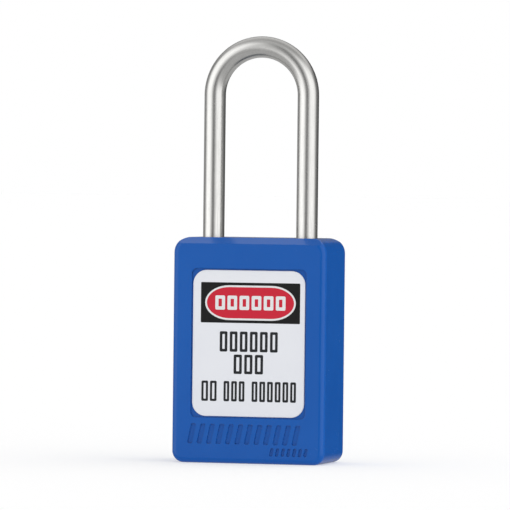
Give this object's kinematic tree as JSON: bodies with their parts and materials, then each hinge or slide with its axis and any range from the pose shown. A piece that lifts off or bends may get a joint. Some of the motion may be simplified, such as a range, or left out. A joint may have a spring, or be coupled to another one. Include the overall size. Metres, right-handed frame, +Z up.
{
  "type": "safety padlock",
  "caption": "Key-operated lockout padlock: plastic body with label recesses, thin round shackle, ball lock and pin tumbler cylinder.",
  "frame": {"origin": "centre of the body's bottom face, where the key goes in", "axes": "+Z up along the shackle legs, -Y out of the front label, +X towards the toe leg"},
  "size_m": [0.035, 0.018, 0.0948],
  "materials": {
    "body_plastic": "satin moulded thermoplastic, blue",
    "cover_plastic": "satin moulded thermoplastic, blue",
    "front_label_plastic": "white printed label, matt",
    "rear_label_plastic": "white write-on label, matt",
    "shackle_steel": "drawn along its length, satin",
    "spring_steel": "spring wire, drawn",
    "plated_steel": "zinc plated",
    "cast_alloy": "die-cast, as cast",
    "cam_steel": "sintered steel",
    "ball_steel": "hardened and ground",
    "brass": "machined",
    "plug_brass": "turned and broached",
    "pin_brass": "turned",
    "pin_nickel": "turned, nickel silver"
  },
  "bodies": {
    "lock_body": {"body_shell": "body_plastic", "bottom_cover": "cover_plastic", "front_label": "front_label_plastic", "rear_label": "rear_label_plastic", "shackle_spring": "spring_steel", "shackle_retaining_pin": "plated_steel", "mechanism_carrier": "cast_alloy", "cylinder_housing": "brass", "cylinder_screw": "plated_steel", "chamber_cap": "brass", "driver_spring_1": "spring_steel", "driver_spring_2": "spring_steel", "driver_spring_3": "spring_steel", "driver_spring_4": "spring_steel", "driver_spring_5": "spring_steel", "driver_spring_6": "spring_steel"},
    "shackle_body": {"shackle": "shackle_steel"},
    "plug_body": {"plug": "plug_brass", "plug_clip": "spring_steel", "drive_cam": "cam_steel"},
    "ball_toe_body": {"locking_ball_toe": "ball_steel"},
    "ball_heel_body": {"locking_ball_heel": "ball_steel"},
    "key_pin_1_body": {"key_pin_1": "pin_brass"},
    "driver_pin_1_body": {"driver_pin_1": "pin_nickel"},
    "key_pin_2_body": {"key_pin_2": "pin_brass"},
    "driver_pin_2_body": {"driver_pin_2": "pin_nickel"},
    "key_pin_3_body": {"key_pin_3": "pin_brass"},
    "driver_pin_3_body": {"driver_pin_3": "pin_nickel"},
    "key_pin_4_body": {"key_pin_4": "pin_brass"},
    "driver_pin_4_body": {"driver_pin_4": "pin_nickel"},
    "key_pin_5_body": {"key_pin_5": "pin_brass"},
    "driver_pin_5_body": {"driver_pin_5": "pin_nickel"},
    "key_pin_6_body": {"key_pin_6": "pin_brass"},
    "driver_pin_6_body": {"driver_pin_6": "pin_nickel"}
  },
  "joints": [
    {"name": "shackle_lift", "type": "slide", "parent": "lock_body", "child": "shackle_body", "axis": [0, 0, 1], "range_m": [0, 0.0135], "deforming": ["shackle_spring"]},
    {"name": "key_turn", "type": "hinge", "parent": "lock_body", "child": "plug_body", "pos_m": [0, 0, 0], "axis": [0, 0, 1], "range_deg": [-90, 0]},
    {"name": "ball_toe_slide", "type": "slide", "parent": "lock_body", "child": "ball_toe_body", "axis": [1, 0, 0], "range_m": [0, 0.0009]},
    {"name": "ball_heel_slide", "type": "slide", "parent": "lock_body", "child": "ball_heel_body", "axis": [-1, 0, 0], "range_m": [0, 0.0009]},
    {"name": "key_pin_1_slide", "type": "slide", "parent": "plug_body", "child": "key_pin_1_body", "axis": [0, 1, 0], "range_m": [-0.00092, 0]},
    {"name": "driver_pin_1_slide", "type": "slide", "parent": "lock_body", "child": "driver_pin_1_body", "axis": [1, 0, 0], "range_m": [0, 0.002], "deforming": ["driver_spring_1"]},
    {"name": "key_pin_2_slide", "type": "slide", "parent": "plug_body", "child": "key_pin_2_body", "axis": [0, 1, 0], "range_m": [-0.00172, 0]},
    {"name": "driver_pin_2_slide", "type": "slide", "parent": "lock_body", "child": "driver_pin_2_body", "axis": [1, 0, 0], "range_m": [0, 0.002], "deforming": ["driver_spring_2"]},
    {"name": "key_pin_3_slide", "type": "slide", "parent": "plug_body", "child": "key_pin_3_body", "axis": [0, 1, 0], "range_m": [-0.00052, 0]},
    {"name": "driver_pin_3_slide", "type": "slide", "parent": "lock_body", "child": "driver_pin_3_body", "axis": [1, 0, 0], "range_m": [0, 0.002], "deforming": ["driver_spring_3"]},
    {"name": "key_pin_4_slide", "type": "slide", "parent": "plug_body", "child": "key_pin_4_body", "axis": [0, 1, 0], "range_m": [-0.00132, 0]},
    {"name": "driver_pin_4_slide", "type": "slide", "parent": "lock_body", "child": "driver_pin_4_body", "axis": [1, 0, 0], "range_m": [0, 0.002], "deforming": ["driver_spring_4"]},
    {"name": "key_pin_5_slide", "type": "slide", "parent": "plug_body", "child": "key_pin_5_body", "axis": [0, 1, 0], "range_m": [-0.00092, 0]},
    {"name": "driver_pin_5_slide", "type": "slide", "parent": "lock_body", "child": "driver_pin_5_body", "axis": [1, 0, 0], "range_m": [0, 0.002], "deforming": ["driver_spring_5"]},
    {"name": "key_pin_6_slide", "type": "slide", "parent": "plug_body", "child": "key_pin_6_body", "axis": [0, 1, 0], "range_m": [-0.00172, 0]},
    {"name": "driver_pin_6_slide", "type": "slide", "parent": "lock_body", "child": "driver_pin_6_body", "axis": [1, 0, 0], "range_m": [0, 0.002], "deforming": ["driver_spring_6"]}
  ],
  "couplings": [
    {"joint": "ball_toe_slide", "follows": "key_turn", "m_per_rad": -0.0005729},
    {"joint": "ball_heel_slide", "follows": "key_turn", "m_per_rad": -0.0005729}
  ]
}
